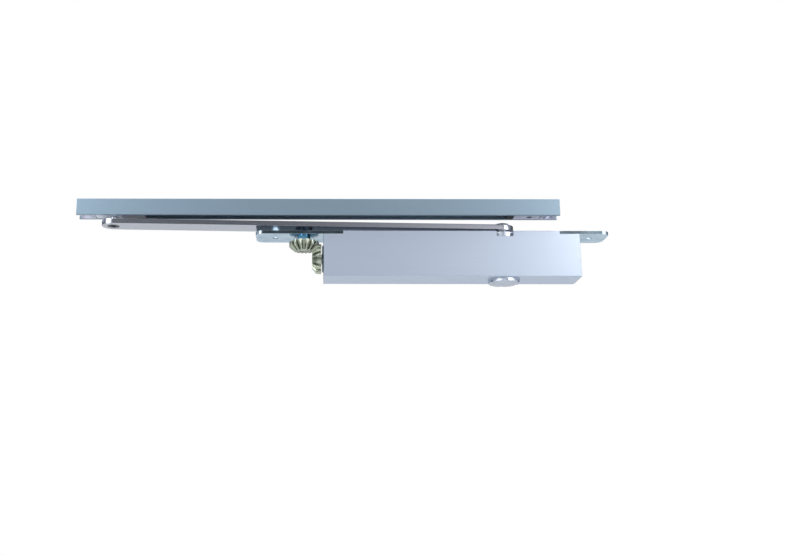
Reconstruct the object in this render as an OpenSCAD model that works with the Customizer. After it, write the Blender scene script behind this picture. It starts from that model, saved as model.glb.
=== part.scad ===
// Concealed overhead door closer with a guide rail, a slide arm and a
// bevel-gear adjuster for the closing spring.
// X runs along the rail, Y away from the viewer's side, Z up.
// The origin is the centre of the two door fixing holes, on the seating
// face of the mounting plates. The closed door is the rest position.

/* [Closer housing] */
// Length of the closer housing
housing_l = 234; // [215:1:290]
// Depth of the housing, front to back
housing_d = 32; // [30:0.5:40]
// Height of the housing
housing_h = 43; // [42:0.5:54]
// Radius along the long edges of the housing
housing_edge_r = 0.6; // [0.3:0.1:2]
// Bore for the piston and the spring
bore_d = 25; // [21:0.5:28]
// Depth of the bore axis below the housing top
bore_axis_depth = 23; // [21:0.5:26]
// Distance from the spindle axis to the housing's right end
spindle_inset = 68; // [60:1:90]

/* [Mounting plates] */
// Thickness of the two mounting plates
plate_t = 3; // [2:0.5:5]
// Width of the mounting plates
plate_w = 31; // [24:0.5:40]
// Corner radius of the mounting plates
plate_r = 7; // [3:0.5:11]
// Distance from the housing's left end to the left fixing hole
left_hole_out = 44.5; // [42:0.5:60]
// Distance from the housing's right end to the right fixing hole
right_hole_out = 12.5; // [9:0.5:30]
// Plate material beyond the left fixing hole
left_plate_end = 18; // [10:0.5:30]
// Plate material beyond the right fixing hole
right_plate_end = 15.5; // [8:0.5:30]
// Length of plate let into the housing top
plate_seat_l = 18; // [14:0.5:26]
// Diameter of the door fixing holes
fixing_hole_d = 5.5; // [4:0.1:7]

/* [Spindle and pinion] */
// Diameter of the spindle journals
spindle_d = 12; // [10:0.5:12.5]
// Width across the square on top of the spindle
spindle_square = 9; // [7:0.5:10]
// Diameter of the two spindle caps
cap_d = 28.6; // [24:0.2:31]
// Depth of the recess round the top cap
cap_recess = 5; // [3:0.5:6]
// Diameter of the recess round the top cap
cap_recess_d = 35; // [32:0.5:40]
// How far the bottom cap stands below the housing
bottom_cap_h = 3; // [1.5:0.5:6]
// Module of the rack and pinion
pinion_module = 1.25; // [1:0.05:1.3]
// Number of pinion teeth
pinion_teeth = 12; // [11:1:13]
// Swing of the arm from the closed position, degrees
arm_swing = 145; // [90:5:160]

/* [Spring adjuster] */
// Module of the two mitre gears at their outer end
bevel_module = 1.8; // [1.4:0.1:1.9]
// Teeth on each mitre gear
bevel_teeth = 14; // [12:1:16]
// Distance from the drive gear's axis to the housing's left end
gear_inset = 18; // [17.5:0.5:24]
// Share of the cone's length where the teeth begin
toe_share = 0.65; // [0.5:0.05:0.7]
// Lead of the adjuster screw's thread
screw_lead = 2; // [1:0.25:3]
// Travel of the spring seat
seat_travel = 14; // [8:1:20]
// Diameter of the adjuster screw
screw_d = 10; // [8:0.5:12]
// Diameter of the spring wire
spring_wire = 3.4; // [2:0.1:4]
// Active turns of the spring
spring_turns = 14; // [8:1:16]

/* [Arm] */
// Distance between the spindle axis and the slider pin
arm_l = 358.5; // [300:0.5:450]
// Width of the arm
arm_w = 21; // [16:0.5:26]
// Thickness of the arm
arm_t = 4.5; // [3:0.5:6]
// Gap between the housing top and the arm
arm_gap = 3; // [2.8:0.1:6]
// Distance of the rail's centre line in front of the spindle axis
rail_offset = 18; // [0:0.5:30]
// Diameter of the slider pin
pin_d = 7; // [5:0.5:8]

/* [Guide rail] */
// Length of the guide rail
rail_l = 440; // [360:1:600]
// Depth of the guide rail, front to back
rail_w = 16; // [15:0.5:24]
// Height of the guide rail
rail_h = 15.4; // [14:0.1:22]
// Wall of the guide rail
rail_wall = 1.5; // [1:0.1:2]
// Width of the lips beside the slot, measured inside the walls
rail_lip = 0.9; // [0.5:0.1:1.5]
// Gap between the arm and the rail
rail_gap = 4.2; // [3.4:0.1:8]
// Rail beyond the slider pin at the closed end
rail_left_out = 33; // [31:0.5:60]
// Distance between the rail's end and the rail fixing hole
rail_hole_in = 9.5; // [8:0.5:20]
// Length of the slider block
slider_l = 23.5; // [18:0.5:36]
// Length of the slider's buffer
buffer_l = 21.5; // [8:0.5:30]
// Length of the opening stop
stop_l = 24; // [14:0.5:40]

/* [Hidden] */
$fn = 64;

// Clearances
run = 0.05;          // radial clearance of a running fit
seat = 0.03;         // radial clearance of a part that is fixed in place
slip = 0.2;          // clearance of the slider in the rail
eps = 0.01;          // overlap of the shapes that make up one piece
pa = 20;             // pressure angle of all teeth

// Housing and plates
fixing_spacing = housing_l + left_hole_out + right_hole_out;
housing_x0 = -fixing_spacing / 2 + left_hole_out;
housing_x1 = housing_x0 + housing_l;
top_z = plate_t;
bottom_z = top_z - housing_h;
axis_z = top_z - bore_axis_depth;
bore_r = bore_d / 2;
spindle_x = housing_x1 - spindle_inset;
csk_d = 2 * fixing_hole_d - 0.8;      // head of a countersunk fixing screw
plate_screw_d = 3;
plate_screw_head_d = 5.6;
plate_screw_l = 9;
plate_screw_side = 6.5;   // from a plate's side to its screws
plate_screw_end = 5;      // from a plate's inner end to its screws
plate_screw_hex = 2.4;
plate_screw_y = plate_w / 2 - plate_screw_side;
left_screw_x = housing_x0 + plate_seat_l - plate_screw_end;
right_screw_x = housing_x1 - plate_seat_l + plate_screw_end;

// End plugs
plug_flange_t = 3;
plug_flange_r = bore_r + 1.2;
plug_l = 8;
plug_boss_h = 1.2;    // how far the left plug stands out of the housing
plug_oring_in = 3;    // from a plug's inner face to its seal
oring_d = 1.8;
plug_spanner_in = 3;  // from the bore to the centre of a plug's spanner hole
plug_spanner_d = 2.5;
plug_hex = 11.5;      // hex socket of the right plug, across corners
adjuster_journal_d = 8;

// Pinion and rack
pinion_r = pinion_module * pinion_teeth / 2;
profile_shift = 0.3;
pinion_backlash = 0.06;  // taken off the thickness of each tooth
tip_clearance = 0.05;
pinion_tip_r = pinion_r + (1 + profile_shift) * pinion_module - tip_clearance;
pinion_root_r = pinion_r - (1.25 - profile_shift) * pinion_module;
pinion_tooth_s = pinion_module * (PI / 2 + 2 * profile_shift * tan(pa))
    - pinion_backlash;
rack_line = pinion_r + profile_shift * pinion_module;
rack_pitch = PI * pinion_module;
rack_root_y = rack_line + 1.25 * pinion_module;
rack_tip_y = rack_line - pinion_module;
rack_tooth_s = rack_pitch / 2 - pinion_backlash;
piston_travel = pinion_r * arm_swing * PI / 180;
piston_r = bore_r - run;
rack_embed = 0.3;
teeth_half_h = sqrt(pow(piston_r, 2) - pow(rack_root_y + rack_embed, 2)) - 0.1;
window_gap = 0.6;
window_l = 2 * pinion_tip_r + piston_travel + 2 * window_gap;
window_x0 = spindle_x - pinion_tip_r - window_gap;
piston_head_l = 14;
piston_seal_in = 5;      // from the piston's spring end to its seal
check_valve_r = 3;       // pocket of the check valve in the piston's other head
check_valve_l = 9;
oil_way_r = 1.2;
piston_x0 = window_x0 - piston_head_l;
piston_x1 = window_x0 + window_l + piston_head_l;

// Spindle stack
bearing_r = spindle_d / 2 + 4.5;
bearing_gap = 0.4;    // from a bearing to the bore
lower_bearing_l = 4.6;
bore_wall_top = axis_z + bore_r;
bore_wall_bottom = axis_z - bore_r;
recess_z = top_z - cap_recess;
upper_bearing_z0 = bore_wall_top + bearing_gap;
cap_spigot_h = 0.8;
upper_bearing_z1 = recess_z - cap_spigot_h;
lower_bearing_z1 = bore_wall_bottom - bearing_gap;
lower_bearing_z0 = lower_bearing_z1 - lower_bearing_l;
spindle_bottom_z = lower_bearing_z0;
spindle_way_r = pinion_tip_r + 0.4;
seal_r = spindle_d / 2 + 3;
seal_h = 3;
cap_sink = 0.4;       // top cap below the housing's top face
spanner_hole_d = 2.6;
cap_notch_w = 3;      // spanner notches in the rim of the bottom cap
cap_notch_depth = 1.4;

// Arm, pin and rail
arm_z0 = top_z + arm_gap;
arm_z1 = arm_z0 + arm_t;
pivot_x = spindle_x - sqrt(pow(arm_l, 2) - pow(rail_offset, 2));
pivot_y = -rail_offset;
arm_angle = atan2(rail_offset, spindle_x - pivot_x);
arm_screw_d = 5;
arm_screw_l = 12;
arm_screw_head_d = 13;
arm_screw_head_h = 2.6;
rail_z0 = arm_z1 + rail_gap;
rail_z1 = rail_z0 + rail_h;
rail_x0 = pivot_x - rail_left_out;
rail_x1 = rail_x0 + rail_l;
rail_in_w = rail_w - 2 * rail_wall;
slot_w = rail_in_w - 2 * rail_lip;
cavity_z0 = rail_z0 + rail_wall;
cavity_z1 = rail_z1 - rail_wall;
slider_headroom = 2.4;   // space over the slider for the pin's end and its clip
slider_pin_in = 16;      // from the slider's outer end to the pin
rail_end_in = 3;         // from the rail's end to its bracket
slider_z1 = cavity_z1 - slider_headroom;
slider_x0 = pivot_x - slider_pin_in;
slider_x1 = slider_x0 + slider_l;
bracket_gap = 0.5;       // between a bracket and the slider or the stop
bracket_l = slider_x0 - rail_x0 - rail_end_in - bracket_gap;
pin_head_d = pin_d + 4;
pin_head_t = 1.8;
clip_t = 0.8;
rail_screw_d = 5.2;
rail_screw_head_d = 9.6;
stop_x1 = rail_x1 - rail_end_in - bracket_l - bracket_gap;
stop_x0 = stop_x1 - stop_l;
stop_screw_x = stop_x0 + stop_l * 0.6;
stop_screw_d = 5;
bumper_l = 6;
pin_dish_depth = 0.9;    // hollow in the end of the pin's head
pin_groove = 0.7;        // depth of the clip's groove
// How far the face of each piece in the rail sits above the rail's underside
slider_face = 0.3;
buffer_face = 0.5;
bracket_face = 0.1;
stop_face = 0.2;
bumper_face = 0.4;
// Tongue that keys the buffer into the slider block
tongue_l = 4;
tongue_w = 4.8;
tongue_z0 = cavity_z0 + 3;

// Mitre gears
gear_x = housing_x0 - gear_inset;
bevel_r = bevel_module * bevel_teeth / 2;
bevel_tip_r = bevel_r + bevel_module * cos(45);
bevel_root_r = bevel_r - 1.25 * bevel_module * cos(45);
root_flare = 1;       // widening of each tooth's half angle at its root, degrees
root_flare_h = 0.8;
bevel_core_r = 4.6;
bevel_tip_v = 2 * bevel_r - bevel_tip_r;
bevel_toe = toe_share * bevel_tip_v;
bevel_backlash = 0.25;
bevel_tooth_s = PI * bevel_module / 2 - bevel_backlash;
bevel_hub_h = 0.4;     // how far the core stands out of the back face
bevel_back = gear_inset - plug_boss_h - 2 * bevel_hub_h;
drive_journal_d = 12;
hex_key = 5;
hex_depth = 7;
circlip_t = 1;
circlip_groove = 0.9;
gear_key_w = 2.5;
gear_key_l = 5;
gear_key_in = 3;       // from the driven gear's toe to its key
shaft_in = 1.2;        // from the driven gear's toe to the end of its shaft

// Adjuster and spring
plug_in_x = housing_x0 + plug_flange_t + plug_l;
washer_t = 1;
washer_r = 9;
collar_t = 3;
collar_r = 7;
collar_x = plug_in_x + washer_t;
seat_t = 4;
seat_boss_l = 8;
seat_start = 6;        // from the collar to the boss of the spring seat
seat_x0 = collar_x + collar_t + seat_boss_l + seat_start;
seat_x1 = seat_x0 + seat_t;
thread_spare = 4;      // thread past the seat at the end of its travel
screw_end_x = seat_x1 + seat_travel + thread_spare;
spring_gap = 0.6;      // from the spring to the bore
spring_r = bore_r - spring_gap - spring_wire / 2;
spring_pitch = 1.02;   // pitch of a closed end turn, in wires
key_w = 3;
key_depth = 1;

// Regulating valves
valve_spacing = 11;
valve_mid_x = (spindle_x + cap_recess_d / 2 + right_screw_x - 4) / 2;
valve_x = [valve_mid_x - valve_spacing / 2, valve_mid_x + valve_spacing / 2];
valve_d = 5;
valve_tip_d = 1.6;
valve_tip_gap = 0.2;   // round and under the needle of a valve
valve_sink = 0.6;      // valve below the housing's top face
valve_hex = 2.6;
valve_hex_depth = 2.2;
valve_shoulder_z = bore_wall_top + 2;
valve_groove_z = [top_z - 6, top_z - 4.6];
valve_groove_depth = 0.9;

function involute_angle(a) = tan(a) * 180 / PI - a;

// Half the angle that a tooth spans at radius r
function half_angle(r, pitch_r, s) =
    s / (2 * pitch_r) * 180 / PI + involute_angle(pa)
    - involute_angle(acos(min(1, pitch_r * cos(pa) / r)));

function polar(r, a) = r * [cos(a), sin(a)];

function steps(a, b, n) = [for (k = [0:n]) a + (b - a) * k / n];

function spur_points(teeth, pitch_r, root_r, tip_r, s) = [
    for (i = [0:teeth - 1])
        for (p = concat(
            [for (r = steps(root_r, tip_r, 6)) [r, -half_angle(r, pitch_r, s)]],
            [for (r = steps(tip_r, root_r, 6)) [r, half_angle(r, pitch_r, s)]]))
            polar(p[0], p[1] + i * 360 / teeth)];

// Mitre gear teeth: an involute on the developed back cone, drawn towards
// the apex. The apex is at the origin and the axis is +Z.
function bevel_half_angle(r) =
    half_angle(r / cos(45), bevel_r / cos(45), bevel_tooth_s) / cos(45)
    + root_flare * max(0, 1 - (r - bevel_root_r) / root_flare_h);

// Radius and angle of each corner of the tooth outline on the back cone
function bevel_outline() = [
    for (i = [0:bevel_teeth - 1])
        for (q = concat(
            [for (r = steps(bevel_root_r, bevel_tip_r, 4)) [r, -bevel_half_angle(r)]],
            [for (r = steps(bevel_tip_r, bevel_root_r, 4)) [r, bevel_half_angle(r)]]))
            [q[0], q[1] + i * 360 / bevel_teeth]];

// Where a line from the apex through a point of the outline meets the plane
// at height v, kept inside the cylinder that the blank is turned to
function bevel_point(q, v) =
    concat(polar(min(q[0] * v / (2 * bevel_r - q[0]), bevel_tip_r), q[1]), v);

// Walls between two rings of n points each: rings j and k of a list of rings
function ring_walls(j, k, n) = [for (i = [0:n - 1])
    [j * n + i, k * n + i, k * n + (i + 1) % n, j * n + (i + 1) % n]];

// The same walls as triangles, for rings whose walls aren't flat
function ring_triangles(j, k, n) = [for (w = ring_walls(j, k, n))
    each [[w[0], w[1], w[2]], [w[0], w[2], w[3]]]];

// A round bar along X, from x0 to x1, on the bore axis
module along_bore(x0, x1, r) {
    translate([x0, 0, axis_z]) rotate([0, 90, 0]) cylinder(r = r, h = x1 - x0);
}

// A ring along X on the bore axis
module ring_along_bore(x0, x1, r_in, r_out) {
    difference() {
        along_bore(x0, x1, r_out);
        along_bore(x0 - 1, x1 + 1, r_in);
    }
}

module disc(z0, z1, r) {
    translate([0, 0, z0]) cylinder(r = r, h = z1 - z0);
}

module ring(z0, z1, r_in, r_out) {
    difference() {
        disc(z0, z1, r_out);
        disc(z0 - 1, z1 + 1, r_in);
    }
}

// A rectangle with round corners, centred in Y, from x0 to x1
module round_rect(x0, x1, w, r) {
    translate([x0 + r, -w / 2]) square([x1 - x0 - 2 * r, w]);
    translate([x0, -w / 2 + r]) square([x1 - x0, w - 2 * r]);
    for (x = [x0 + r, x1 - r], y = [-w / 2 + r, w / 2 - r])
        translate([x, y]) circle(r = r);
}

module block(x0, x1, w, z0, z1) {
    translate([x0, -w / 2, z0]) cube([x1 - x0, w, z1 - z0]);
}

// A round hole with a cone for a countersunk head, opening upward at z1
module countersunk_hole(d, head_d, z0, z1) {
    disc(z0 - 1, z1 + 1, d / 2);
    translate([0, 0, z1 - (head_d - d) / 2])
        cylinder(d1 = d, d2 = head_d + 0.02, h = (head_d - d) / 2 + 0.01);
}

module at_plate_screws() {
    for (x = [left_screw_x, right_screw_x], y = [-plate_screw_y, plate_screw_y])
        translate([x, y, 0]) children();
}

module o_ring(mean_r, d) {
    rotate_extrude() translate([mean_r, 0]) circle(d = d, $fn = 24);
}

module bore_ring(x, mean_r, d) {
    translate([x, 0, axis_z]) rotate([0, 90, 0]) o_ring(mean_r, d);
}

// Housing: drilled block with its two plate seats, the spindle stack and
// the regulating valves
module housing() {
    color("#aab9c8") difference() {
        translate([housing_x0, 0, (top_z + bottom_z) / 2])
            rotate([90, 0, 90]) linear_extrude(housing_l)
            round_rect(-housing_d / 2, housing_d / 2, housing_h, housing_edge_r);
        along_bore(housing_x0 - 1, housing_x1 + 1, bore_r);
        along_bore(housing_x0 - 1, housing_x0 + plug_flange_t, plug_flange_r + seat);
        along_bore(housing_x1 - plug_flange_t, housing_x1 + 1, plug_flange_r + seat);
        block(housing_x0 - 1, housing_x0 + plate_seat_l, housing_d + 2, 0, top_z + 1);
        block(housing_x1 - plate_seat_l, housing_x1 + 1, housing_d + 2, 0, top_z + 1);
        translate([spindle_x, 0, 0]) {
            disc(recess_z, top_z + 1, cap_recess_d / 2);
            disc(upper_bearing_z0, recess_z + 1, bearing_r + seat);
            disc(lower_bearing_z1, upper_bearing_z0 + eps, spindle_way_r);
            disc(bottom_z - 1, lower_bearing_z1, bearing_r + seat);
        }
        at_plate_screws() disc(plate_t - plate_screw_l, plate_t, plate_screw_d / 2 + seat);
        for (x = valve_x) translate([x, 0, 0]) {
            disc(valve_shoulder_z, top_z + 1, valve_d / 2 + run);
            disc(bore_wall_top - 2, valve_shoulder_z + eps, valve_tip_d / 2 + valve_tip_gap);
        }
        translate([plug_in_x, -key_w / 2 - run, axis_z - bore_r - key_depth - run])
            cube([seat_x1 + seat_travel + 2 - plug_in_x, key_w + 2 * run, bore_r]);
    }
}

module mounting_plate(x0, x1, hole_x, round_left) {
    difference() {
        linear_extrude(plate_t) {
            round_rect(x0, x1, plate_w, plate_r);
            translate([round_left ? x1 - plate_seat_l : x0, -plate_w / 2])
                square([plate_seat_l, plate_w]);
        }
        translate([hole_x, 0, 0]) countersunk_hole(fixing_hole_d, csk_d, 0, plate_t);
        at_plate_screws() countersunk_hole(plate_screw_d + 2 * seat,
                                           plate_screw_head_d, 0, plate_t);
    }
}

module left_mounting_plate() {
    color("#9fc4dc") difference() {
        mounting_plate(-fixing_spacing / 2 - left_plate_end,
                       housing_x0 + plate_seat_l - seat, -fixing_spacing / 2, true);
        translate([gear_x, 0, 0]) disc(-1, plate_t + 1, drive_journal_d / 2 + run);
    }
}

module right_mounting_plate() {
    color("#b9d2e6") mounting_plate(housing_x1 - plate_seat_l + seat,
        fixing_spacing / 2 + right_plate_end, fixing_spacing / 2, false);
}

module plate_screws() {
    head_h = (plate_screw_head_d - plate_screw_d) / 2;
    color("#c9d3da") at_plate_screws() difference() {
        union() {
            disc(plate_t - plate_screw_l + 0.5, plate_t - head_h + eps, plate_screw_d / 2);
            translate([0, 0, plate_t - head_h])
                cylinder(d1 = plate_screw_d, d2 = plate_screw_head_d - 0.2, h = head_h);
        }
        translate([0, 0, plate_t - 1.2]) cylinder(d = plate_screw_hex, h = 2, $fn = 6);
    }
}

module end_plug(x_out, x_in, flange_x) {
    lo = min(x_out, x_in);
    along_bore(lo, max(x_out, x_in), bore_r - seat);
    along_bore(min(x_out, flange_x), max(x_out, flange_x), plug_flange_r);
}

module left_end_plug() {
    color("#2f3a44") difference() {
        union() {
            end_plug(housing_x0, plug_in_x, housing_x0 + plug_flange_t);
            along_bore(housing_x0 - plug_boss_h, housing_x0 + 1, bore_r - seat);
        }
        along_bore(housing_x0 - 2, plug_in_x + 1, adjuster_journal_d / 2 + run);
        bore_ring(plug_in_x - plug_oring_in, bore_r - oring_d / 2, oring_d + 2 * seat);
        for (a = [0:90:270]) translate([housing_x0 - 2, 0, axis_z]) rotate([a, 0, 0])
            translate([0, 0, bore_r - plug_spanner_in]) rotate([0, 90, 0])
            cylinder(d = plug_spanner_d, h = 4);
    }
}

module right_end_plug() {
    plug_x = housing_x1 - plug_flange_t - plug_l;
    color("#c8ccd0") difference() {
        end_plug(housing_x1, plug_x, housing_x1 - plug_flange_t);
        bore_ring(plug_x + plug_oring_in, bore_r - oring_d / 2, oring_d + 2 * seat);
        translate([housing_x1 - 5, 0, axis_z]) rotate([0, 90, 0])
            cylinder(d = plug_hex, h = 6, $fn = 6);
    }
}

module end_plug_seals() {
    right_plug_x = housing_x1 - plug_flange_t - plug_l;
    color("#26282b") for (x = [plug_in_x - plug_oring_in, right_plug_x + plug_oring_in])
        bore_ring(x, bore_r - oring_d / 2, oring_d);
}

// Top cap: holds the upper bearing down and carries the shaft seal
module top_bearing_cap() {
    color("#d3d8dc") translate([spindle_x, 0, 0]) difference() {
        union() {
            disc(recess_z, top_z - cap_sink, cap_d / 2);
            disc(recess_z - cap_spigot_h, recess_z + eps, bearing_r - seat);
        }
        disc(recess_z - 2, top_z + 1, spindle_d / 2 + 0.3);
        disc(recess_z - 2, recess_z - cap_spigot_h + seal_h, seal_r);
        for (a = [45:90:315]) rotate([0, 0, a])
            translate([cap_d / 2 - spanner_hole_d, 0, top_z - cap_sink - 2])
                cylinder(d = spanner_hole_d, h = 3);
    }
}

// Bottom cap: closed cap with six spanner notches in its rim
module bottom_bearing_cap() {
    color("#cfd6de") translate([spindle_x, 0, 0]) difference() {
        union() {
            disc(bottom_z - bottom_cap_h, bottom_z, cap_d / 2);
            disc(bottom_z - eps, lower_bearing_z0, bearing_r - seat);
        }
        for (a = [30:60:330]) rotate([0, 0, a])
            translate([cap_d / 2 - cap_notch_depth, -cap_notch_w / 2,
                       bottom_z - bottom_cap_h - 1])
                cube([cap_notch_depth + 1, cap_notch_w, bottom_cap_h - cap_sink]);
    }
}

module upper_bearing() {
    color("#b7bcc2") translate([spindle_x, 0, 0])
        ring(upper_bearing_z0, upper_bearing_z1, spindle_d / 2 + run, bearing_r);
}

module lower_bearing() {
    color("#b7bcc2") translate([spindle_x, 0, 0])
        ring(lower_bearing_z0, lower_bearing_z1, spindle_d / 2 + run, bearing_r);
}

module shaft_seal() {
    color("#26282b") translate([spindle_x, 0, 0])
        ring(upper_bearing_z1, upper_bearing_z1 + seal_h, spindle_d / 2 + run, seal_r - seat);
}

module spindle_square_bar(w, z0, z1) {
    intersection() {
        translate([-w / 2, -w / 2, z0]) cube([w, w, z1 - z0]);
        disc(z0, z1, w / 2 + (spindle_d - spindle_square) / 2 - 0.1);
    }
}

// Spindle: two journals, the pinion between them and a square for the arm
module pinion_spindle() {
    teeth_z0 = axis_z - teeth_half_h;
    color("#a9aeb4") translate([spindle_x, 0, 0]) difference() {
        union() {
            disc(spindle_bottom_z, arm_z0 - eps, spindle_d / 2);
            translate([0, 0, teeth_z0]) rotate([0, 0, 90 + 180 / pinion_teeth])
                linear_extrude(2 * teeth_half_h)
                polygon(spur_points(pinion_teeth, pinion_r, pinion_root_r,
                                    pinion_tip_r, pinion_tooth_s));
            rotate([0, 0, arm_angle])
                spindle_square_bar(spindle_square, arm_z0 - 1, arm_z1 - 0.3);
        }
        disc(arm_z1 - arm_screw_l - 1, arm_z1 + 1, arm_screw_d / 2 + seat);
    }
}

// One rack tooth, pointing towards -Y, centred at x = 0
module rack_tooth() {
    root_s = rack_tooth_s + 2 * (rack_root_y - rack_line) * tan(pa);
    tip_s = rack_tooth_s - 2 * (rack_line - rack_tip_y) * tan(pa);
    back_y = rack_root_y + rack_embed;
    polygon([[-root_s / 2, back_y], [-root_s / 2, rack_root_y],
             [-tip_s / 2, rack_tip_y], [tip_s / 2, rack_tip_y],
             [root_s / 2, rack_root_y], [root_s / 2, back_y]]);
}

// Piston: two heads joined by the side walls of a window that holds the rack
module piston() {
    rack_last = ceil(piston_travel / rack_pitch) + 2;
    color("#c2c6ca") difference() {
        union() {
            difference() {
                along_bore(piston_x0, piston_x1, piston_r);
                translate([window_x0, -pinion_tip_r - window_gap, axis_z - bore_r - 1])
                    cube([window_l, pinion_tip_r + window_gap + rack_root_y, bore_d + 2]);
            }
            translate([spindle_x, 0, axis_z - teeth_half_h])
                linear_extrude(2 * teeth_half_h)
                for (i = [-2:rack_last])
                    translate([i * rack_pitch, 0]) rack_tooth();
        }
        bore_ring(piston_x0 + piston_seal_in, piston_r - oring_d / 2, oring_d + 2 * seat);
        along_bore(piston_x1 - check_valve_l, piston_x1 + 1, check_valve_r + seat);
        along_bore(window_x0 + window_l - 1, piston_x1 - check_valve_l + 1, oil_way_r);
    }
}

module piston_seal() {
    color("#26282b") bore_ring(piston_x0 + piston_seal_in, piston_r - oring_d / 2,
                               oring_d);
}

module check_valve_seat() {
    color("#d0b060") ring_along_bore(piston_x1 - 4, piston_x1, oil_way_r, check_valve_r);
}

module check_valve_ball() {
    ball_r = 2.1;
    color("#dfe3e6") translate([piston_x1 - 4 - ball_r - 0.1, 0, axis_z])
        sphere(r = ball_r, $fn = 32);
}

// A coil spring on the bore axis with closed end turns, as one swept tube
function coil_turn(t) = let (n = spring_turns + 2)
    t < 1 ? t * spring_wire * spring_pitch
    : t > n - 1 ? spring_l - spring_wire * (spring_pitch * (n - t) + 1)
    : spring_wire * spring_pitch
      + (t - 1) / (n - 2) * (spring_l - spring_wire * (2 * spring_pitch + 1));
spring_l = piston_x0 - seat_x1;
coil_steps = 16;
wire_sides = 6;

function coil_point(k, j) =
    let (t = k / coil_steps,
         a = t * 360,
         b = j * 360 / wire_sides,
         r = spring_r + spring_wire / 2 * cos(b))
    [seat_x1 + spring_wire / 2 + coil_turn(t) + spring_wire / 2 * sin(b) * 0.98,
     r * cos(a), axis_z + r * sin(a)];

module closer_spring() {
    n = (spring_turns + 2) * coil_steps;
    pts = [for (k = [0:n], j = [0:wire_sides - 1]) coil_point(k, j)];
    walls = [for (k = [0:n - 1], j = [0:wire_sides - 1])
        let (m = (j + 1) % wire_sides)
        [k * wire_sides + j, k * wire_sides + m,
         (k + 1) * wire_sides + m, (k + 1) * wire_sides + j]];
    ends = [[for (j = [wire_sides - 1:-1:0]) j],
            [for (j = [0:wire_sides - 1]) n * wire_sides + j]];
    color("#8b9096") polyhedron(pts, concat(walls, ends));
}

// Spring seat: a nut on the adjuster screw, kept from turning by its key
module spring_seat() {
    color("#b9a46a") difference() {
        union() {
            along_bore(seat_x0, seat_x1, bore_r - 0.2);
            along_bore(seat_x0 - seat_boss_l, seat_x0 + 1, collar_r + 1);
            translate([seat_x0, -key_w / 2, axis_z - bore_r - key_depth + 0.2])
                cube([seat_t, key_w, 3]);
        }
        along_bore(seat_x0 - seat_boss_l - 1, seat_x1 + 1, screw_d / 2 + run);
    }
}

// Adjuster screw: shaft for the driven gear, journal, thrust collar, thread
module adjuster_screw() {
    shaft_x0 = gear_x + bevel_toe + shaft_in;
    color("#b4b9bf") difference() {
        union() {
            along_bore(shaft_x0, collar_x + eps, adjuster_journal_d / 2);
            along_bore(collar_x, collar_x + collar_t, collar_r);
            along_bore(collar_x + collar_t - eps, screw_end_x, screw_d / 2);
        }
        gear_key_box(seat);
    }
}

module thrust_washer() {
    color("#c9a050") ring_along_bore(plug_in_x, collar_x, adjuster_journal_d / 2 + 0.2,
                                     washer_r);
}

module gear_key_box(c) {
    translate([gear_x + bevel_toe + gear_key_in, -gear_key_w / 2 - c,
               axis_z + (adjuster_journal_d - gear_key_w) / 2 - c])
        cube([gear_key_l, gear_key_w + 2 * c, gear_key_w + 2 * c]);
}

module driven_gear_key() {
    color("#8d9399") gear_key_box(0);
}

// Mitre gear: a ring of teeth round a solid core. The teeth run from the
// small face, along the cone, to a flat back face.
module bevel_blank() {
    outline = bevel_outline();
    n = len(outline);
    planes = [bevel_toe, bevel_tip_v, (bevel_tip_v + bevel_back) / 2, bevel_back];
    rings = [for (v = planes) [for (q = outline) bevel_point(q, v)]];
    inner = [for (v = [bevel_back, bevel_toe])
        [for (q = outline) concat(polar(bevel_core_r, q[1]), v)]];
    all_rings = concat(rings, inner);
    last = len(all_rings);
    polyhedron([for (one = all_rings) each one],
               [for (j = [0:last - 1]) each j == 1 || j == 2
                   ? ring_triangles(j, j + 1, n) : ring_walls(j, (j + 1) % last, n)]);
    disc(bevel_toe + 0.6, bevel_back + bevel_hub_h, bevel_core_r + 0.5);
}

module driven_bevel_gear() {
    color("#b9c0ae") difference() {
        translate([gear_x, 0, axis_z]) rotate([0, 90, 0])
            rotate([0, 0, 180 / bevel_teeth]) bevel_blank();
        along_bore(gear_x, housing_x0, adjuster_journal_d / 2 + seat);
        gear_key_box(seat);
    }
}

// Drive gear: its journal turns in the left plate and has a hex socket
module drive_bevel_gear() {
    color("#b9c0ae") translate([gear_x, 0, 0]) difference() {
        union() {
            translate([0, 0, axis_z]) bevel_blank();
            disc(axis_z + bevel_back - 1, plate_t + circlip_t + 0.6, drive_journal_d / 2);
        }
        translate([0, 0, plate_t + circlip_t - hex_depth]) cylinder(
            d = hex_key / cos(30), h = 10, $fn = 6);
        ring(plate_t + 0.05, plate_t + 0.05 + circlip_t, drive_journal_d / 2 - circlip_groove,
             drive_journal_d / 2 + 1);
    }
}

module drive_gear_circlip() {
    r = drive_journal_d / 2;
    color("#7b8086") translate([gear_x, 0, 0]) difference() {
        ring(plate_t + 0.1, plate_t + circlip_t, r - circlip_groove + 0.05, r + 2);
        translate([0, -1.5, 0]) cube([r + 4, 3, plate_t + 3]);
    }
}

module valve(x) {
    translate([x, 0, 0]) difference() {
        union() {
            disc(valve_shoulder_z + valve_tip_gap, top_z - valve_sink, valve_d / 2);
            disc(bore_wall_top + valve_tip_gap, valve_shoulder_z + 2 * valve_tip_gap,
                 valve_tip_d / 2);
        }
        ring(valve_groove_z[0], valve_groove_z[1], valve_d / 2 - valve_groove_depth, valve_d);
        translate([0, 0, top_z - valve_sink - valve_hex_depth])
            cylinder(d = valve_hex, h = 4, $fn = 6);
    }
}

module valve_seal(x) {
    translate([x, 0, 0]) ring(valve_groove_z[0] + seat, valve_groove_z[1] - seat,
                              valve_d / 2 - valve_groove_depth + seat, valve_d / 2);
}

module closing_valve() {
    color("#d4b45c") valve(valve_x[0]);
}

module closing_valve_seal() {
    color("#26282b") valve_seal(valve_x[0]);
}

module latching_valve() {
    color("#d4b45c") valve(valve_x[1]);
}

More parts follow.
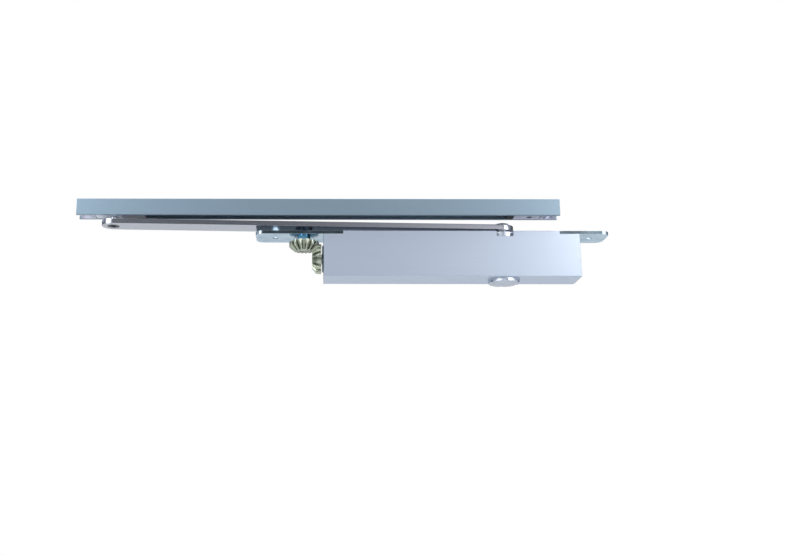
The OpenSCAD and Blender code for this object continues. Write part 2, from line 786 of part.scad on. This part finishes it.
module latching_valve_seal() {
    color("#26282b") valve_seal(valve_x[1]);
}

// Arm: flat bar with round ends, square hole at the spindle
module arm() {
    color("#b9c0ca") difference() {
        translate([pivot_x, pivot_y, arm_z0]) rotate([0, 0, arm_angle])
            linear_extrude(arm_t) {
                translate([0, -arm_w / 2]) square([arm_l, arm_w]);
                circle(d = arm_w);
                translate([arm_l, 0]) circle(d = arm_w);
            }
        translate([spindle_x, 0, 0]) rotate([0, 0, arm_angle])
            spindle_square_bar(spindle_square + 2 * seat, arm_z0 - 1, arm_z1 + 1);
        translate([pivot_x, pivot_y, 0]) {
            disc(arm_z0 - 1, arm_z1 + 1, pin_d / 2 + seat);
            disc(arm_z0 - 1, arm_z0 + pin_head_t, pin_head_d / 2 + seat);
        }
    }
}

module arm_screw() {
    color("#9ba1a8") translate([spindle_x, 0, 0]) difference() {
        union() {
            disc(arm_z1 - arm_screw_l, arm_z1 + eps, arm_screw_d / 2);
            disc(arm_z1, arm_z1 + arm_screw_head_h, arm_screw_head_d / 2);
        }
        translate([0, 0, arm_z1 + 0.6]) cylinder(d = 4 / cos(30), h = 4, $fn = 6);
    }
}

// Slider pin: riveted in the arm, its head let into the underside
module slider_pin() {
    color("#8f959c") translate([pivot_x, pivot_y, 0]) difference() {
        union() {
            disc(arm_z0 + 0.1, arm_z0 + pin_head_t, pin_head_d / 2);
            disc(arm_z0 + pin_head_t - eps, slider_z1 + clip_t + 0.6, pin_d / 2);
        }
        disc(arm_z0 - 1, arm_z0 + pin_dish_depth, pin_d / 2 - 1);
        ring(slider_z1 + 0.1, slider_z1 + 0.1 + clip_t, pin_d / 2 - pin_groove, pin_d);
    }
}

module slider_pin_clip() {
    color("#7b8086") translate([pivot_x, pivot_y, 0]) difference() {
        ring(slider_z1 + 0.15, slider_z1 + 0.05 + clip_t, pin_d / 2 - pin_groove + 0.05,
             pin_d / 2 + 1.6);
        translate([0, -1, slider_z1]) cube([pin_d, 2, 3]);
    }
}

// Cross section of a block that slides in the rail, pulled in by c
module slide_section(x0, x1, z_low, z_high, c) {
    translate([0, pivot_y, 0]) {
        block(x0, x1, rail_in_w - 2 * c, cavity_z0 + c, z_high);
        block(x0, x1, slot_w - 2 * c, z_low, cavity_z0 + c + eps);
    }
}

module slider_block() {
    color("#dfe4e8") difference() {
        slide_section(slider_x0, slider_x1, rail_z0 + slider_face, slider_z1, slip);
        translate([pivot_x, pivot_y, 0]) disc(rail_z0 - 1, slider_z1 + 1, pin_d / 2 + run);
        translate([slider_x1 - tongue_l, pivot_y, 0])
            block(0, tongue_l + 1, tongue_w + slip, tongue_z0, slider_z1 + 1);
    }
}

// Buffer: polymer nose of the slider, keyed into the block
module slider_buffer() {
    color("#8d949b") {
        slide_section(slider_x1, slider_x1 + buffer_l, rail_z0 + buffer_face,
                      slider_z1 - 2 * slip, slip);
        translate([slider_x1 - tongue_l + slip, pivot_y, 0])
            block(0, tongue_l, tongue_w, tongue_z0 + slip / 2, slider_z1 - 2 * slip);
    }
}

// Rail: open channel with two lips beside its slot
module rail() {
    color("#8fa9bb") difference() {
        translate([rail_x0, pivot_y, (rail_z0 + rail_z1) / 2])
            rotate([90, 0, 90]) linear_extrude(rail_l)
            round_rect(-rail_w / 2, rail_w / 2, rail_h, 0.4);
        translate([0, pivot_y, 0]) {
            block(rail_x0 - 1, rail_x1 + 1, rail_in_w, cavity_z0, cavity_z1);
            block(rail_x0 - 1, rail_x1 + 1, slot_w, rail_z0 - 1, cavity_z0 + 1);
        }
        for (x = [rail_x0 + rail_hole_in, rail_x1 - rail_hole_in])
            translate([x, pivot_y, 0]) disc(cavity_z1 - 1, rail_z1 + 1, rail_screw_d / 2);
    }
}

module rail_bracket(x0, x1, hole_x) {
    difference() {
        slide_section(x0, x1, rail_z0 + bracket_face, cavity_z1, seat);
        translate([hole_x, pivot_y, 0]) {
            disc(rail_z0 - 1, cavity_z1 + 1, rail_screw_d / 2);
            translate([0, 0, rail_z0 - eps])
                cylinder(d1 = rail_screw_head_d, d2 = rail_screw_d,
                         h = (rail_screw_head_d - rail_screw_d) / 2);
        }
    }
}

module left_rail_bracket() {
    color("#c4cbd3") rail_bracket(
        rail_x0 + rail_end_in, rail_x0 + rail_end_in + bracket_l, rail_x0 + rail_hole_in);
}

module right_rail_bracket() {
    color("#c9c9de") rail_bracket(
        rail_x1 - rail_end_in - bracket_l, rail_x1 - rail_end_in, rail_x1 - rail_hole_in);
}

// Opening stop: clamped in the rail by its screw, with a bumper in front
module opening_stop() {
    color("#bfc3d2") difference() {
        slide_section(stop_x0, stop_x1, rail_z0 + stop_face, cavity_z1 - 1, seat);
        translate([stop_screw_x, pivot_y, 0])
            disc(rail_z0 - 1, rail_z1, stop_screw_d / 2 + seat);
    }
}

module stop_bumper() {
    color("#3a3d41") difference() {
        slide_section(stop_x0 - bumper_l, stop_x0, rail_z0 + bumper_face, cavity_z1 - 2,
                      slip);
        translate([stop_x0 - bumper_l / 2, pivot_y, rail_z0 - 1]) cylinder(d = 2, h = 3);
    }
}

module stop_screw() {
    color("#9ba1a8") translate([stop_screw_x, pivot_y, 0]) difference() {
        disc(rail_z0 + 0.6, cavity_z1, stop_screw_d / 2);
        translate([0, 0, rail_z0]) cylinder(d = 2.5 / cos(30), h = 4, $fn = 6);
    }
}

housing();
left_mounting_plate();
right_mounting_plate();
plate_screws();
left_end_plug();
right_end_plug();
end_plug_seals();
top_bearing_cap();
bottom_bearing_cap();
upper_bearing();
lower_bearing();
shaft_seal();
pinion_spindle();
piston();
piston_seal();
check_valve_seat();
check_valve_ball();
closer_spring();
spring_seat();
adjuster_screw();
thrust_washer();
driven_bevel_gear();
driven_gear_key();
drive_bevel_gear();
drive_gear_circlip();
closing_valve();
closing_valve_seal();
latching_valve();
latching_valve_seal();
arm();
arm_screw();
slider_pin();
slider_pin_clip();
slider_block();
slider_buffer();
rail();
left_rail_bracket();
right_rail_bracket();
opening_stop();
stop_bumper();
stop_screw();
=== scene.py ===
"""Looks for the concealed door closer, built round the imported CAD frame."""
import math

import bpy
from mathutils import Matrix, Vector


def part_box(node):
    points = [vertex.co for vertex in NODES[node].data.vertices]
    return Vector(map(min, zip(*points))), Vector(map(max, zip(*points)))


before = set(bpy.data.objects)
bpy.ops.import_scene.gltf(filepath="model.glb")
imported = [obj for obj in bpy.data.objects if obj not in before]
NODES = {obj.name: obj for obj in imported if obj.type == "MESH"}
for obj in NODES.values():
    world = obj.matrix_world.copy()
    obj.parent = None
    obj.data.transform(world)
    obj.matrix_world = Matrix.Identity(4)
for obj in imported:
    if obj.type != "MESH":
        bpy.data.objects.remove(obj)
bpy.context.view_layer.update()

SCENE = bpy.context.scene
MM = 0.001


# ---------------------------------------------------------------- camera

CAMERA_PLACE = Vector((-0.1112, -0.9001, -0.2539))
CAMERA_PITCH = math.radians(103.485)
CAMERA_ROLL = 0.00155  # radians
LENS = 46.093
SENSOR_WIDTH = 36
SHIFT_X = 0.102
CLIP_START, CLIP_END = 0.01, 50


def add_camera():
    data = bpy.data.cameras.new("camera")
    data.sensor_width = SENSOR_WIDTH
    data.lens = LENS
    data.shift_x = SHIFT_X
    data.clip_start = CLIP_START
    data.clip_end = CLIP_END
    camera = bpy.data.objects.new("camera", data)
    turn = Matrix.Rotation(CAMERA_PITCH, 4, "X") @ Matrix.Rotation(CAMERA_ROLL, 4, "Z")
    camera.matrix_world = Matrix.Translation(CAMERA_PLACE) @ turn
    SCENE.collection.objects.link(camera)
    SCENE.camera = camera


# ---------------------------------------------------------------- studio

FLOOR_Z = -1.4
FLOOR_SIZE = 20.0
FLOOR_COLOR = (0.93, 0.94, 0.95)
FLOOR_ROUGHNESS = 0.7

# The room's own dim light, from every side
ROOM_COLOR = (0.80, 0.87, 1.0)
ROOM_STRENGTH = 0.10

# Soft panels of light on the room's walls: direction, width (1 fills half of the room),
# colour and strength
PANELS = [
    ((0.0, 0.0, 1.0), 0.9, (1.0, 1.0, 1.0), 0.54),
    ((0.72, -0.60, 0.36), 0.30, (1.0, 0.98, 1.0), 1.15),
    ((-0.62, -0.60, 0.62), 0.24, (0.92, 0.96, 1.0), 1.9),
]

# Area lights: name, place, point aimed at, width and height, power in watts, colour
SOFTBOXES = [
    ("right_softbox", (0.62, -0.62, 0.32), (0.1, 0, 0), (0.5, 0.5), 3.7, (1, 1, 1)),
    ("left_softbox", (-0.95, -0.75, 0.36), (-0.25, 0, 0), (0.6, 0.6), 4.4,
     (0.92, 0.96, 1.0)),
    ("top_softbox", (0, -0.2, 1.9), (0, 0, 0), (2.2, 1.6), 24, (1, 1, 1)),
]


def add_floor():
    mesh = bpy.data.meshes.new("floor")
    half = FLOOR_SIZE / 2
    corners = [(-half, -half), (half, -half), (half, half), (-half, half)]
    mesh.from_pydata([(x, y, FLOOR_Z) for x, y in corners], [], [(0, 1, 2, 3)])
    floor = bpy.data.objects.new("floor", mesh)
    SCENE.collection.objects.link(floor)
    material = bpy.data.materials.new("floor")
    material.use_nodes = True
    shader = material.node_tree.nodes["Principled BSDF"]
    shader.inputs["Base Color"].default_value = (*FLOOR_COLOR, 1)
    shader.inputs["Roughness"].default_value = FLOOR_ROUGHNESS
    mesh.materials.append(material)


def add_softbox(name, place, target, size, power, color):
    data = bpy.data.lights.new(name, "AREA")
    data.shape = "RECTANGLE"
    data.size, data.size_y = size
    data.energy = power
    data.color = color
    light = bpy.data.objects.new(name, data)
    away = Vector(target) - Vector(place)
    light.matrix_world = (Matrix.Translation(place)
                          @ away.to_track_quat("-Z", "Y").to_matrix().to_4x4())
    light.visible_camera = False
    SCENE.collection.objects.link(light)


def add_panel(tree, look, behind, direction, width, color, strength):
    """One panel's light, seen along look, on top of the light behind it."""
    toward = tree.nodes.new("ShaderNodeVectorMath")
    toward.operation = "DOT_PRODUCT"
    toward.inputs[1].default_value = Vector(direction).normalized()
    tree.links.new(look, toward.inputs[0])
    level = tree.nodes.new("ShaderNodeMapRange")
    level.interpolation_type = "SMOOTHSTEP"
    level.inputs["From Min"].default_value = 1 - width
    level.inputs["To Max"].default_value = strength
    tree.links.new(toward.outputs["Value"], level.inputs["Value"])
    light = tree.nodes.new("ShaderNodeVectorMath")
    light.operation = "MULTIPLY_ADD"
    light.inputs[1].default_value = color
    light.inputs[2].default_value = [c * ROOM_STRENGTH for c in ROOM_COLOR]
    tree.links.new(level.outputs["Result"], light.inputs[0])
    if behind is not None:
        tree.links.new(behind, light.inputs[2])
    return light.outputs["Vector"]


def add_world():
    """White to the camera; a dim room with soft panels for everything that it lights."""
    world = bpy.data.worlds.new("studio")
    world.use_nodes = True
    tree = world.node_tree
    tree.nodes.clear()
    out = tree.nodes.new("ShaderNodeOutputWorld")
    mix = tree.nodes.new("ShaderNodeMixShader")
    path = tree.nodes.new("ShaderNodeLightPath")
    room = tree.nodes.new("ShaderNodeBackground")
    white = tree.nodes.new("ShaderNodeBackground")
    look = tree.nodes.new("ShaderNodeTexCoord")
    white.inputs["Color"].default_value = (1, 1, 1, 1)
    total = None
    for panel in PANELS:
        total = add_panel(tree, look.outputs["Generated"], total, *panel)
    tree.links.new(total, room.inputs["Color"])
    tree.links.new(path.outputs["Is Camera Ray"], mix.inputs["Fac"])
    tree.links.new(room.outputs[0], mix.inputs[1])
    tree.links.new(white.outputs[0], mix.inputs[2])
    tree.links.new(mix.outputs[0], out.inputs["Surface"])
    SCENE.world = world


def add_studio():
    add_floor()
    add_world()
    for softbox in SOFTBOXES:
        add_softbox(*softbox)
    SCENE.view_settings.view_transform = "Standard"


# ---------------------------------------------------------------- materials

NOISE_ROUGHNESS = 0.55
EDGE_SAMPLES = 4
CREVICE_SAMPLES = 8
# Cosine between the rounded and the true normal that counts as all edge, and as none
EDGE_COSINES = (0.86, 0.995)
# Share of open air that counts as all crevice, and as none
CREVICE_AIR = (0.35, 0.85)


class Recipe:
    """One material's node tree, with short calls for the nodes that it repeats."""

    def __init__(self, name, color, metallic, roughness):
        self.name = name
        self.roughness = roughness
        self.material = bpy.data.materials.new(name)
        self.material.use_nodes = True
        self.tree = self.material.node_tree
        self.shader = self.tree.nodes["Principled BSDF"]
        self.shader.inputs["Base Color"].default_value = (*color, 1)
        self.shader.inputs["Metallic"].default_value = metallic
        self.shader.inputs["Roughness"].default_value = roughness
        self.coordinates = self.tree.nodes.new("ShaderNodeTexCoord")
        self.place = self.coordinates.outputs["Object"]

    def noise(self, grain, detail=3):
        """Noise with grain lumps to the metre along X, Y and Z."""
        mapping = self.tree.nodes.new("ShaderNodeMapping")
        mapping.inputs["Scale"].default_value = grain
        texture = self.tree.nodes.new("ShaderNodeTexNoise")
        texture.inputs["Scale"].default_value = 1
        texture.inputs["Detail"].default_value = detail
        texture.inputs["Roughness"].default_value = NOISE_ROUGHNESS
        self.tree.links.new(self.place, mapping.inputs["Vector"])
        self.tree.links.new(mapping.outputs[0], texture.inputs["Vector"])
        return texture.outputs["Fac"]

    def ramp(self, value, low=0, high=1, start=0.3, end=0.7):
        """low where value is at start or under, high where it is at end or over."""
        node = self.tree.nodes.new("ShaderNodeMapRange")
        node.inputs["From Min"].default_value = start
        node.inputs["From Max"].default_value = end
        node.inputs["To Min"].default_value = low
        node.inputs["To Max"].default_value = high
        self.tree.links.new(value, node.inputs["Value"])
        return node.outputs["Result"]

    def dot(self, first):
        """A dot product with its first side linked: the node, for its second side."""
        node = self.tree.nodes.new("ShaderNodeVectorMath")
        node.operation = "DOT_PRODUCT"
        self.tree.links.new(first, node.inputs[0])
        return node

    def edges(self, radius):
        """1 on sharp edges and 0 on flat faces."""
        bevel = self.tree.nodes.new("ShaderNodeBevel")
        bevel.samples = EDGE_SAMPLES
        bevel.inputs["Radius"].default_value = radius
        surface = self.tree.nodes.new("ShaderNodeNewGeometry")
        cosine = self.dot(bevel.outputs[0])
        self.tree.links.new(surface.outputs["Normal"], cosine.inputs[1])
        return self.ramp(cosine.outputs["Value"], 1, 0, *EDGE_COSINES)

    def facing(self, axis, start, end):
        """1 on faces square to axis, either way round, and 0 on those along it."""
        cosine = self.dot(self.coordinates.outputs["Normal"])
        cosine.inputs[1].default_value = axis
        size = self.tree.nodes.new("ShaderNodeMath")
        size.operation = "ABSOLUTE"
        self.tree.links.new(cosine.outputs["Value"], size.inputs[0])
        return self.ramp(size.outputs[0], 0, 1, start, end)

    def crevices(self, reach):
        """1 deep between close walls and 0 out in the open."""
        open_air = self.tree.nodes.new("ShaderNodeAmbientOcclusion")
        open_air.samples = CREVICE_SAMPLES
        open_air.inputs["Distance"].default_value = reach
        return self.ramp(open_air.outputs["AO"], 1, 0, *CREVICE_AIR)

    def mix_color(self, amount, other, strength=1):
        """Blend the base colour so far with other, by amount times strength."""
        node = self.tree.nodes.new("ShaderNodeMix")
        node.data_type = "RGBA"
        base = self.shader.inputs["Base Color"]
        if base.is_linked:
            self.tree.links.new(base.links[0].from_socket, node.inputs["A"])
        else:
            node.inputs["A"].default_value = base.default_value
        node.inputs["B"].default_value = (*other, 1)
        self.tree.links.new(self.ramp(amount, 0, strength, 0, 1), node.inputs["Factor"])
        self.tree.links.new(node.outputs["Result"], base)

    def vary_roughness(self, value, smoother, rougher):
        """Roughness from smoother under the recipe's own to rougher over it."""
        spread = self.ramp(value, self.roughness - smoother, self.roughness + rougher)
        self.tree.links.new(spread, self.shader.inputs["Roughness"])

    def add_bump(self, height, depth, strength):
        node = self.tree.nodes.new("ShaderNodeBump")
        node.inputs["Distance"].default_value = depth
        node.inputs["Strength"].default_value = strength
        self.tree.links.new(height, node.inputs["Height"])
        self.tree.links.new(node.outputs[0], self.shader.inputs["Normal"])


def shade(color, factor):
    return tuple(min(1.0, c * factor) for c in color)


def anodised(name, color, roughness):
    """Satin anodised aluminium: a fine matt etch with faint drawn lines along X."""
    recipe = Recipe(name, color, metallic=0.7, roughness=roughness)
    lines = recipe.noise((14, 2600, 2600), detail=2)
    etch = recipe.noise((3200, 3200, 3200), detail=2)
    cloud = recipe.noise((9, 30, 30))
    recipe.mix_color(recipe.ramp(cloud), shade(color, 0.93), strength=0.5)
    recipe.mix_color(recipe.ramp(lines), shade(color, 1.08), strength=0.4)
    # Painted dark reflection: the edges are darkened as if they mirrored dark surroundings
    recipe.mix_color(recipe.edges(radius=0.9 * MM), shade(color, 0.45), strength=0.9)
    recipe.vary_roughness(etch, smoother=0.03, rougher=0.03)
    recipe.add_bump(etch, depth=0.012 * MM, strength=0.4)
    return recipe


BLUE_SHEEN = (0.62, 0.80, 0.86)
# Painted dark reflection for the plate's sides that face +Y and -Y
PAINTED_SIDE_REFLECTION = (0.08, 0.11, 0.13)
# Painted highlight for the plate's edges
PAINTED_PLATE_EDGE_HIGHLIGHT = (0.88, 0.93, 0.97)


def zinc_plated(name, color, roughness):
    """Blue zinc plate: soft patches, a faint sheen, painted dark reflection on the sides
    that face +Y and -Y, and painted highlights on its edges.
    """
    recipe = Recipe(name, color, metallic=1, roughness=roughness)
    patches = recipe.noise((60, 60, 60), detail=4)
    pressed = recipe.noise((700, 700, 700))
    recipe.mix_color(recipe.ramp(patches), shade(color, 0.78), strength=0.6)
    recipe.mix_color(recipe.ramp(patches, 1, 0, 0.35, 0.6), BLUE_SHEEN, strength=0.35)
    # Painted dark reflection: faces square to Y are darkened as if they mirrored dark
    # surroundings
    recipe.mix_color(recipe.facing((0, 1, 0), 0.9, 0.98), PAINTED_SIDE_REFLECTION, strength=0.75)
    # Painted highlight: the edges are lightened as if they caught the light
    recipe.mix_color(recipe.edges(radius=0.4 * MM), PAINTED_PLATE_EDGE_HIGHLIGHT, strength=0.5)
    recipe.vary_roughness(patches, smoother=0.06, rougher=0.10)
    recipe.add_bump(pressed, depth=0.03 * MM, strength=0.35)
    return recipe


def brushed_steel(name, color, roughness):
    """Bright flat steel with faint brush marks along X."""
    recipe = Recipe(name, color, metallic=1, roughness=roughness)
    marks = recipe.noise((30, 2200, 2200))
    cloud = recipe.noise((25, 60, 60))
    recipe.mix_color(recipe.ramp(marks), shade(color, 0.92), strength=0.5)
    recipe.mix_color(recipe.ramp(cloud), shade(color, 0.93), strength=0.5)
    # Painted highlight: the edges are lightened as if they caught the light
    recipe.mix_color(recipe.edges(radius=0.3 * MM), shade(color, 1.3), strength=0.4)
    recipe.vary_roughness(marks, smoother=0.03, rougher=0.04)
    recipe.add_bump(marks, depth=0.006 * MM, strength=0.3)
    return recipe


OIL_FILM = (0.24, 0.25, 0.16)
# Painted shade for the crevices between the teeth
PAINTED_CREVICE_SHADE = (0.030, 0.035, 0.022)
# Painted highlight for the gears' edges
PAINTED_GEAR_EDGE_HIGHLIGHT = (0.80, 0.84, 0.76)


def sintered(name, color, roughness):
    """Sintered gear steel: open grain, oil stains, painted shade between the teeth and
    painted highlights on the edges.
    """
    recipe = Recipe(name, color, metallic=1, roughness=roughness)
    pores = recipe.noise((2600, 2600, 2600), detail=4)
    oil = recipe.noise((220, 220, 220))
    recipe.mix_color(recipe.ramp(pores, 1, 0, 0.3, 0.5), shade(color, 0.45), strength=0.4)
    recipe.mix_color(recipe.ramp(oil), OIL_FILM, strength=0.35)
    # Painted shade: darkened where walls close in, between the teeth
    recipe.mix_color(recipe.crevices(reach=2.2 * MM), PAINTED_CREVICE_SHADE, strength=0.95)
    # Painted highlight: the edges are lightened as if they caught the light
    recipe.mix_color(recipe.edges(radius=0.5 * MM), PAINTED_GEAR_EDGE_HIGHLIGHT, strength=0.8)
    recipe.vary_roughness(oil, smoother=0.12, rougher=0.12)
    recipe.add_bump(pores, depth=0.05 * MM, strength=0.5)
    return recipe


def turned(name, color, roughness, depth=0.02 * MM):
    """Turned or ground metal with fine marks, depth metres deep, and a little staining."""
    recipe = Recipe(name, color, metallic=1, roughness=roughness)
    marks = recipe.noise((900, 900, 900))
    stain = recipe.noise((130, 130, 130))
    recipe.mix_color(recipe.ramp(stain), shade(color, 0.75), strength=0.6)
    # Painted highlight: the edges are lightened as if they caught the light
    recipe.mix_color(recipe.edges(radius=0.3 * MM), shade(color, 1.35), strength=0.7)
    recipe.vary_roughness(marks, smoother=0.06, rougher=0.10)
    recipe.add_bump(marks, depth=depth, strength=0.4)
    return recipe


def moulded(name, color, roughness):
    """Moulded polymer or rubber with a fine surface grain."""
    recipe = Recipe(name, color, metallic=0, roughness=roughness)
    skin = recipe.noise((1500, 1500, 1500))
    flow = recipe.noise((90, 140, 90))
    recipe.mix_color(recipe.ramp(flow), shade(color, 0.82), strength=0.6)
    # Painted highlight: the edges are lightened as if they caught the light
    recipe.mix_color(recipe.edges(radius=0.3 * MM), shade(color, 1.25), strength=0.5)
    recipe.vary_roughness(skin, smoother=0.06, rougher=0.08)
    recipe.add_bump(skin, depth=0.03 * MM, strength=0.5)
    return recipe


# Height over which one finish passes into the next
FINISH_STEP = 0.1 * MM


def bright_above(recipe, bottom, color, roughness):
    """A second, smoother finish on all that stands above bottom, a height in metres."""
    height = recipe.tree.nodes.new("ShaderNodeSeparateXYZ")
    recipe.tree.links.new(recipe.place, height.inputs[0])
    above = recipe.ramp(height.outputs["Z"], 0, 1, bottom, bottom + FINISH_STEP)
    recipe.mix_color(above, color)
    recipe.tree.links.new(recipe.ramp(above, recipe.roughness, roughness, 0, 1),
                          recipe.shader.inputs["Roughness"])
    return recipe


GEAR_COLOR, GEAR_ROUGHNESS = (0.52, 0.56, 0.46), 0.34

# The look of each slot, whose name each recipe has
SLOT_RECIPES = [
    anodised("anodised_housing", (0.54, 0.615, 0.73), roughness=0.33),
    anodised("anodised_rail", (0.29, 0.39, 0.475), roughness=0.30),
    zinc_plated("zinc_plate", (0.50, 0.66, 0.77), roughness=0.18),
    brushed_steel("arm_steel", (0.56, 0.58, 0.64), roughness=0.17),
    sintered("gear_steel", GEAR_COLOR, GEAR_ROUGHNESS),
    turned("machined_steel", (0.60, 0.63, 0.67), roughness=0.26),
    turned("cap_metal", (0.62, 0.67, 0.75), roughness=0.38),
    turned("dark_steel", (0.17, 0.18, 0.20), roughness=0.34),
    turned("brass", (0.72, 0.52, 0.22), roughness=0.26),
    moulded("rubber", (0.022, 0.023, 0.026), roughness=0.55),
    turned("spring_steel", (0.24, 0.25, 0.28), roughness=0.30),
    moulded("slider_polymer", (0.70, 0.74, 0.80), roughness=0.38),
    moulded("grey_polymer", (0.26, 0.28, 0.31), roughness=0.42),
    turned("bracket_zinc", (0.58, 0.60, 0.72), roughness=0.24, depth=0.05 * MM),
]
MATERIALS = {recipe.name: recipe.material for recipe in SLOT_RECIPES}

# How far the drive gear's hub begins below the left mounting plate
HUB_BELOW_PLATE = 4.1 * MM
HUB_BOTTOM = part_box("left_mounting_plate")[0][2] - HUB_BELOW_PLATE
# Height inside the arm where the slider pin turns bright
PIN_BRIGHT = (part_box("arm")[0][2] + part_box("arm")[1][2]) / 2

# Looks of single nodes that differ from their slot's: the drive gear's zinc-plated hub,
# the pin's dark end under the arm and the blackened end plug behind the gears
NODE_RECIPES = {
    "drive_bevel_gear": bright_above(
        sintered("gear_with_hub", GEAR_COLOR, GEAR_ROUGHNESS),
        HUB_BOTTOM, (0.20, 0.42, 0.55), roughness=0.12),
    "slider_pin": bright_above(
        turned("pin_steel", (0.06, 0.065, 0.075), roughness=0.30),
        PIN_BRIGHT, (0.70, 0.73, 0.78), roughness=0.22),
    "left_end_plug": turned("black_plug", (0.030, 0.050, 0.070), roughness=0.28),
}


# ---------------------------------------------------------------- CAD nodes

# Radius of each node's edges, in millimetres; a node that isn't named keeps its own
EDGE_RADII = {
    "housing": 0.35,
    "rail": 0.25,
    "arm": 0.45,
    "left_mounting_plate": 0.4,
    "right_mounting_plate": 0.4,
    "drive_bevel_gear": 0.14,
    "driven_bevel_gear": 0.14,
    "bottom_bearing_cap": 0.35,
    "top_bearing_cap": 0.3,
    "slider_block": 0.4,
    "slider_buffer": 0.5,
    "left_rail_bracket": 0.35,
    "right_rail_bracket": 0.35,
    "opening_stop": 0.35,
    "stop_bumper": 0.5,
    "arm_screw": 0.3,
    "slider_pin": 0.15,
}

WELD_GAP = 0.001 * MM
FLAT_ANGLE = math.radians(0.5)
SHARP_ANGLE = math.radians(25)
EDGE_SEGMENTS = 2
LARGE_FACE_WEIGHT = 80


def refine(node, radius):
    """Join the node's faces, drop flat triangles and round its edges."""
    weld = node.modifiers.new("weld", "WELD")
    weld.merge_threshold = WELD_GAP
    flat = node.modifiers.new("flat", "DECIMATE")
    flat.decimate_type = "DISSOLVE"
    flat.angle_limit = FLAT_ANGLE
    bevel = node.modifiers.new("edges", "BEVEL")
    bevel.width = radius * MM
    bevel.segments = EDGE_SEGMENTS
    bevel.limit_method = "ANGLE"
    bevel.angle_limit = SHARP_ANGLE
    bevel.use_clamp_overlap = True
    bevel.miter_outer = "MITER_ARC"
    normals = node.modifiers.new("normals", "WEIGHTED_NORMAL")
    normals.keep_sharp = True
    normals.weight = LARGE_FACE_WEIGHT


def finish_nodes():
    for name, node in NODES.items():
        for row in node.material_slots:
            if name in NODE_RECIPES:
                row.material = NODE_RECIPES[name].material
            else:
                row.material = MATERIALS[row.material.name]
        if name in EDGE_RADII:
            refine(node, EDGE_RADII[name])


add_camera()
add_studio()
finish_nodes()
